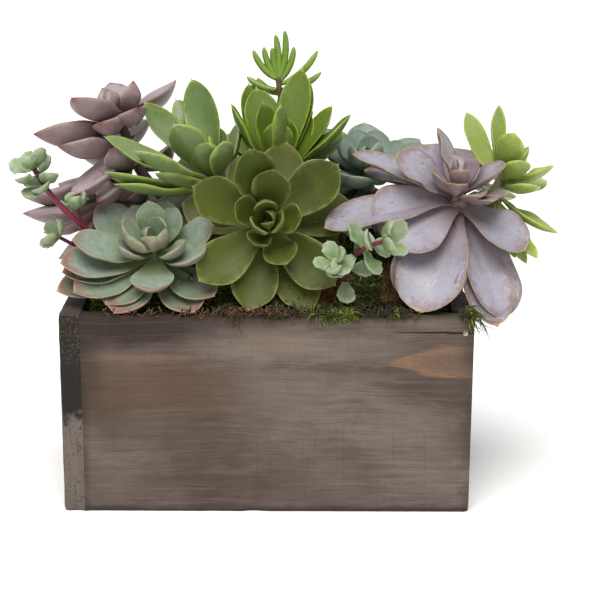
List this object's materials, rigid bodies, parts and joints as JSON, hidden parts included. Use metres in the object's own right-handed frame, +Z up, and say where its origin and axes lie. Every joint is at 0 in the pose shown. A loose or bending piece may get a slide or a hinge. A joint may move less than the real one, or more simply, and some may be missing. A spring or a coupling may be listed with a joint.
{
  "type": "succulent dish garden",
  "caption": "Long wooden box planter of nailed weathered boards, lined, filled with soil and moss and planted with mixed succulents.",
  "frame": {"origin": "centre of the box's underside", "axes": "+X along the box's length, to the right seen from the front; -Y the front; +Z up"},
  "size_m": [0.3452, 0.1525, 0.2892],
  "materials": {
    "weathered_wood": "weathered, rough sawn",
    "steel": "dulled",
    "plastic": "matte",
    "soil": "loose, damp",
    "moss": "soft, tufted",
    "rosette_front": "smooth living leaf",
    "echeveria_left": "powdery living leaf",
    "echeveria_purple": "powdery living leaf",
    "rosette_back_left": "smooth living leaf",
    "rosette_back_centre": "smooth living leaf",
    "aeonium_right": "smooth living leaf",
    "echeveria_blue": "powdery living leaf",
    "ghost_plant_left": "powdery, fleshy living leaf",
    "sedum_fingers": "smooth living leaf",
    "sprig_left": "powdery living leaf, red stem",
    "sprig_front": "powdery living leaf, red stem"
  },
  "bodies": {
    "root": {"board_front": "weathered_wood", "board_right": "weathered_wood", "board_back": "weathered_wood", "board_left": "weathered_wood", "board_bottom": "weathered_wood", "nail_front_low": "steel", "nail_front_middle": "steel", "nail_front_high": "steel", "nail_right_low": "steel", "nail_right_middle": "steel", "nail_right_high": "steel", "nail_back_low": "steel", "nail_back_middle": "steel", "nail_back_high": "steel", "nail_left_low": "steel", "nail_left_middle": "steel", "nail_left_high": "steel", "liner_tray": "plastic", "soil": "soil", "moss": "moss", "rosette_front": "rosette_front", "echeveria_left": "echeveria_left", "echeveria_purple": "echeveria_purple", "rosette_back_left": "rosette_back_left", "rosette_back_centre": "rosette_back_centre", "aeonium_right": "aeonium_right", "echeveria_blue": "echeveria_blue", "ghost_plant_left": "ghost_plant_left", "sedum_fingers": "sedum_fingers", "sprig_left": "sprig_left", "sprig_front": "sprig_front"}
  },
  "joints": []
}
